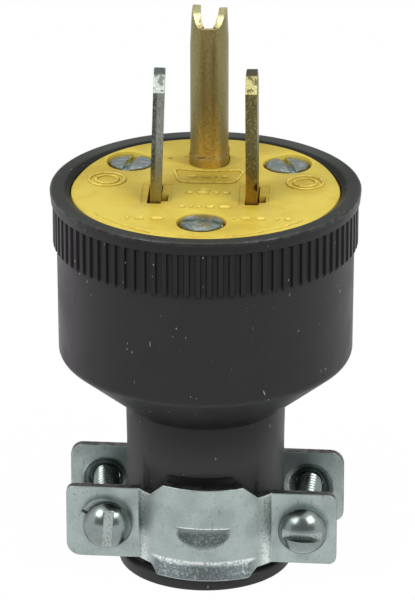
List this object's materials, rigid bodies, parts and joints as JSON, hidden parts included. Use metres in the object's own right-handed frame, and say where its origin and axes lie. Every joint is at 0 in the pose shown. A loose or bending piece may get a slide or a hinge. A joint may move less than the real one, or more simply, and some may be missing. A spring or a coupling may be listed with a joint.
{
  "type": "type b plug",
  "caption": "Grounded type b plug: black moulded grip with a ribbed collar, yellow face, two flat blades, a folded ground pin and a zinc-plated two-strap cord clamp.",
  "frame": {"origin": "middle of the foot of the cord end, at the cable entry", "axes": "+Z along the plug's axis from the cord end to the blades, -Y the front, with the ground pin at +Y, +X to the right from the front"},
  "size_m": [0.0408, 0.0408, 0.0737],
  "materials": {
    "grip": "satin black moulded vinyl",
    "face": "satin yellow moulded nylon",
    "insulator": "orange-brown moulded insulator",
    "nickel_plate": "dull nickel plate, speckled cut edges",
    "brass": "aged brass",
    "green_screw": "green dyed steel",
    "zinc_plate": "zinc plate with fine scratches"
  },
  "bodies": {
    "root": {"body_shell": "grip", "face_plate": "face", "contact_block": "insulator", "neutral_blade": "nickel_plate", "hot_blade": "brass", "ground_pin": "brass", "neutral_wire_plate": "nickel_plate", "hot_wire_plate": "brass", "ground_wire_plate": "brass", "neutral_terminal_screw": "nickel_plate", "hot_terminal_screw": "brass", "ground_terminal_screw": "green_screw", "front_face_screw": "zinc_plate", "left_face_screw": "zinc_plate", "right_face_screw": "zinc_plate", "front_insert": "brass", "left_insert": "brass", "right_insert": "brass", "front_strap": "zinc_plate", "back_strap": "zinc_plate", "left_clamp_screw": "zinc_plate", "right_clamp_screw": "zinc_plate", "left_split_washer": "zinc_plate", "right_split_washer": "zinc_plate"}
  },
  "joints": []
}
